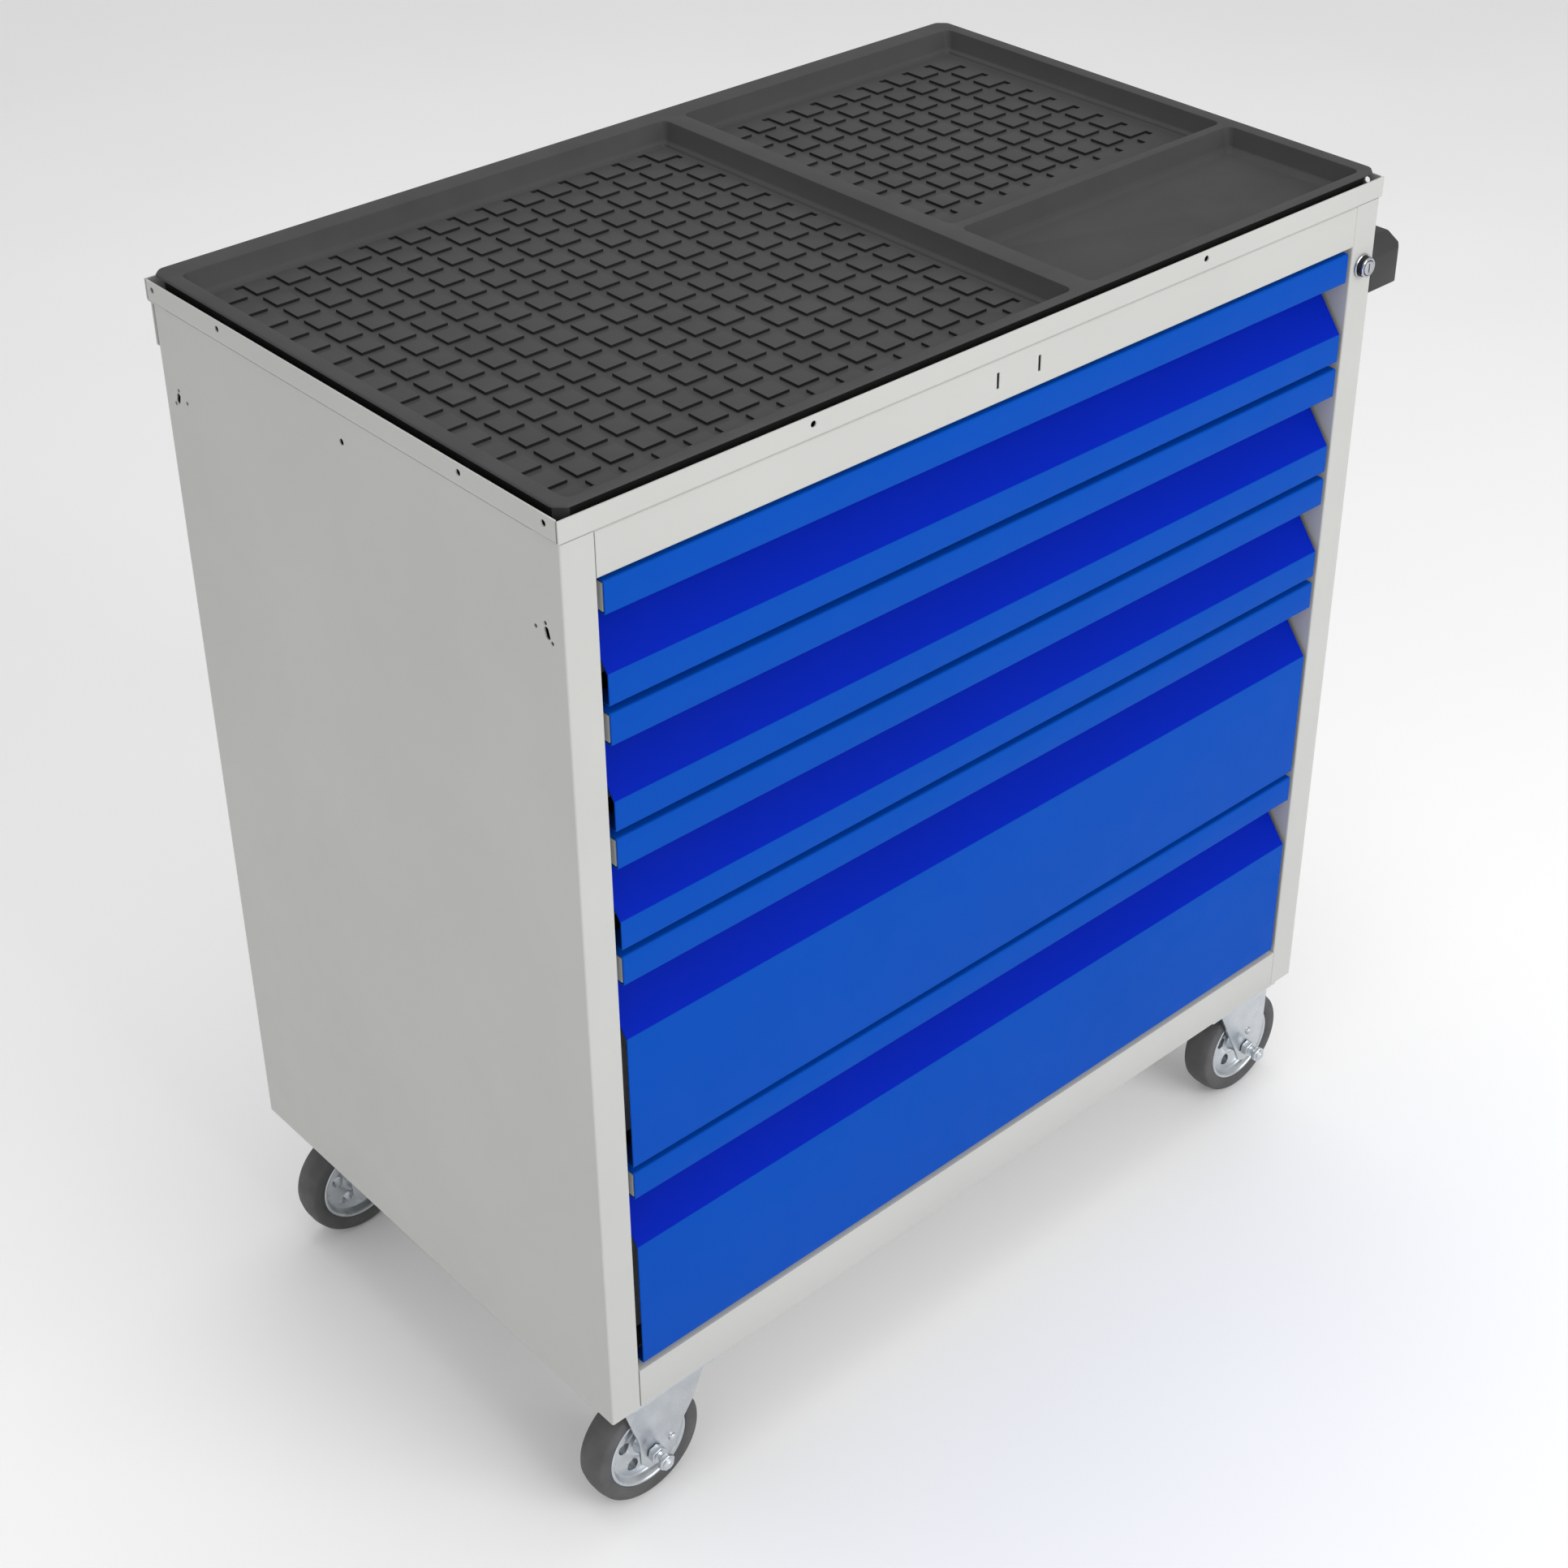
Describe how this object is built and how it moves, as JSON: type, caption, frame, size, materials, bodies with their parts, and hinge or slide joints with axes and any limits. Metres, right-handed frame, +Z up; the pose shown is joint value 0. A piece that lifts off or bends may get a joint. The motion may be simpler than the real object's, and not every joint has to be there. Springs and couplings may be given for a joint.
{
  "type": "mobile tool cabinet",
  "caption": "Workbench-style steel tool cabinet on casters, with sliding drawers behind finger-pull fronts, a moulded tool tray on top, a side push handle and a key lock.",
  "frame": {"origin": "on the floor, below the middle of the whole outline", "axes": "+Z up, the drawers open towards -Y, the push handle is on +X"},
  "size_m": [0.8152, 0.4766, 0.8956],
  "materials": {
    "cabinet_paint": "light grey powder coat, fine texture",
    "drawer_paint": "blue powder coat",
    "drawer_box_paint": "light grey powder coat",
    "tray_plastic": "black, finely grained",
    "handle_plastic": "black, satin",
    "lock_chrome": "polished",
    "slide_zinc": "galvanised",
    "caster_zinc": "bright zinc plate",
    "tyre_rubber": "dark grey, matt"
  },
  "bodies": {
    "cabinet": {"side_panel_left": "cabinet_paint", "side_panel_right": "cabinet_paint", "top_rail": "cabinet_paint", "floor_pan": "cabinet_paint", "back_panel": "cabinet_paint", "rear_top_rail": "cabinet_paint", "worktop_pan": "cabinet_paint", "tool_tray": "tray_plastic", "push_handle": "handle_plastic", "lock_barrel": "lock_chrome", "slide_1_left_cabinet_member": "slide_zinc", "slide_1_right_cabinet_member": "slide_zinc", "slide_2_left_cabinet_member": "slide_zinc", "slide_2_right_cabinet_member": "slide_zinc", "slide_3_left_cabinet_member": "slide_zinc", "slide_3_right_cabinet_member": "slide_zinc", "slide_4_left_cabinet_member": "slide_zinc", "slide_4_right_cabinet_member": "slide_zinc", "slide_5_left_cabinet_member": "slide_zinc", "slide_5_right_cabinet_member": "slide_zinc", "caster_front_left_bracket": "caster_zinc", "caster_front_left_axle": "caster_zinc", "caster_rear_left_bracket": "caster_zinc", "caster_rear_left_axle": "caster_zinc", "caster_front_right_plate": "caster_zinc", "caster_rear_right_plate": "caster_zinc"},
    "drawer_1": {"drawer_1_front": "drawer_paint", "drawer_1_box": "drawer_box_paint", "slide_1_left_drawer_member": "slide_zinc", "slide_1_right_drawer_member": "slide_zinc"},
    "drawer_2": {"drawer_2_front": "drawer_paint", "drawer_2_box": "drawer_box_paint", "slide_2_left_drawer_member": "slide_zinc", "slide_2_right_drawer_member": "slide_zinc"},
    "drawer_3": {"drawer_3_front": "drawer_paint", "drawer_3_box": "drawer_box_paint", "slide_3_left_drawer_member": "slide_zinc", "slide_3_right_drawer_member": "slide_zinc"},
    "drawer_4": {"drawer_4_front": "drawer_paint", "drawer_4_box": "drawer_box_paint", "slide_4_left_drawer_member": "slide_zinc", "slide_4_right_drawer_member": "slide_zinc"},
    "drawer_5": {"drawer_5_front": "drawer_paint", "drawer_5_box": "drawer_box_paint", "slide_5_left_drawer_member": "slide_zinc", "slide_5_right_drawer_member": "slide_zinc"},
    "lock_plug": {"lock_plug": "lock_chrome"},
    "lock_bar": {"lock_bar": "slide_zinc"},
    "swivel_front_right": {"caster_front_right_fork": "caster_zinc", "caster_front_right_axle": "caster_zinc"},
    "swivel_rear_right": {"caster_rear_right_fork": "caster_zinc", "caster_rear_right_axle": "caster_zinc"},
    "wheel_front_left": {"caster_front_left_tyre": "tyre_rubber", "caster_front_left_rim": "caster_zinc"},
    "wheel_rear_left": {"caster_rear_left_tyre": "tyre_rubber", "caster_rear_left_rim": "caster_zinc"},
    "wheel_front_right": {"caster_front_right_tyre": "tyre_rubber", "caster_front_right_rim": "caster_zinc"},
    "wheel_rear_right": {"caster_rear_right_tyre": "tyre_rubber", "caster_rear_right_rim": "caster_zinc"}
  },
  "joints": [
    {"name": "drawer_1_slide", "type": "slide", "parent": "cabinet", "child": "drawer_1", "axis": [0, -1, 0], "range_m": [0, 0.32]},
    {"name": "drawer_2_slide", "type": "slide", "parent": "cabinet", "child": "drawer_2", "axis": [0, -1, 0], "range_m": [0, 0.32]},
    {"name": "drawer_3_slide", "type": "slide", "parent": "cabinet", "child": "drawer_3", "axis": [0, -1, 0], "range_m": [0, 0.32]},
    {"name": "drawer_4_slide", "type": "slide", "parent": "cabinet", "child": "drawer_4", "axis": [0, -1, 0], "range_m": [0, 0.32]},
    {"name": "drawer_5_slide", "type": "slide", "parent": "cabinet", "child": "drawer_5", "axis": [0, -1, 0], "range_m": [0, 0.32]},
    {"name": "lock_turn", "type": "hinge", "parent": "cabinet", "child": "lock_plug", "pos_m": [0.35635, -0.23075, 0.822], "axis": [0, -1, 0], "range_deg": [0, 90]},
    {"name": "lock_bar_lift", "type": "slide", "parent": "cabinet", "child": "lock_bar", "axis": [0, 0, 1], "range_m": [0, 0.0065], "stiffness_N_per_m": 5, "springref_m": 0.368},
    {"name": "caster_front_right_swivel", "type": "hinge", "parent": "cabinet", "child": "swivel_front_right", "pos_m": [0.3096, -0.19475, 0.12], "axis": [0, 0, 1], "continuous": true},
    {"name": "caster_rear_right_swivel", "type": "hinge", "parent": "cabinet", "child": "swivel_rear_right", "pos_m": [0.3096, 0.19625, 0.12], "axis": [0, 0, 1], "continuous": true},
    {"name": "wheel_front_left_spin", "type": "hinge", "parent": "cabinet", "child": "wheel_front_left", "pos_m": [-0.3564, -0.19475, 0.05], "axis": [0, 1, 0], "continuous": true},
    {"name": "wheel_front_right_spin", "type": "hinge", "parent": "swivel_front_right", "child": "wheel_front_right", "pos_m": [0.3396, -0.19475, 0.05], "axis": [0, 1, 0], "continuous": true},
    {"name": "wheel_rear_left_spin", "type": "hinge", "parent": "cabinet", "child": "wheel_rear_left", "pos_m": [-0.3564, 0.19625, 0.05], "axis": [0, 1, 0], "continuous": true},
    {"name": "wheel_rear_right_spin", "type": "hinge", "parent": "swivel_rear_right", "child": "wheel_rear_right", "pos_m": [0.3396, 0.19625, 0.05], "axis": [0, 1, 0], "continuous": true}
  ],
  "couplings": [
    {"joint": "lock_turn", "follows": "lock_bar_lift", "rad_per_m": 241.66}
  ]
}
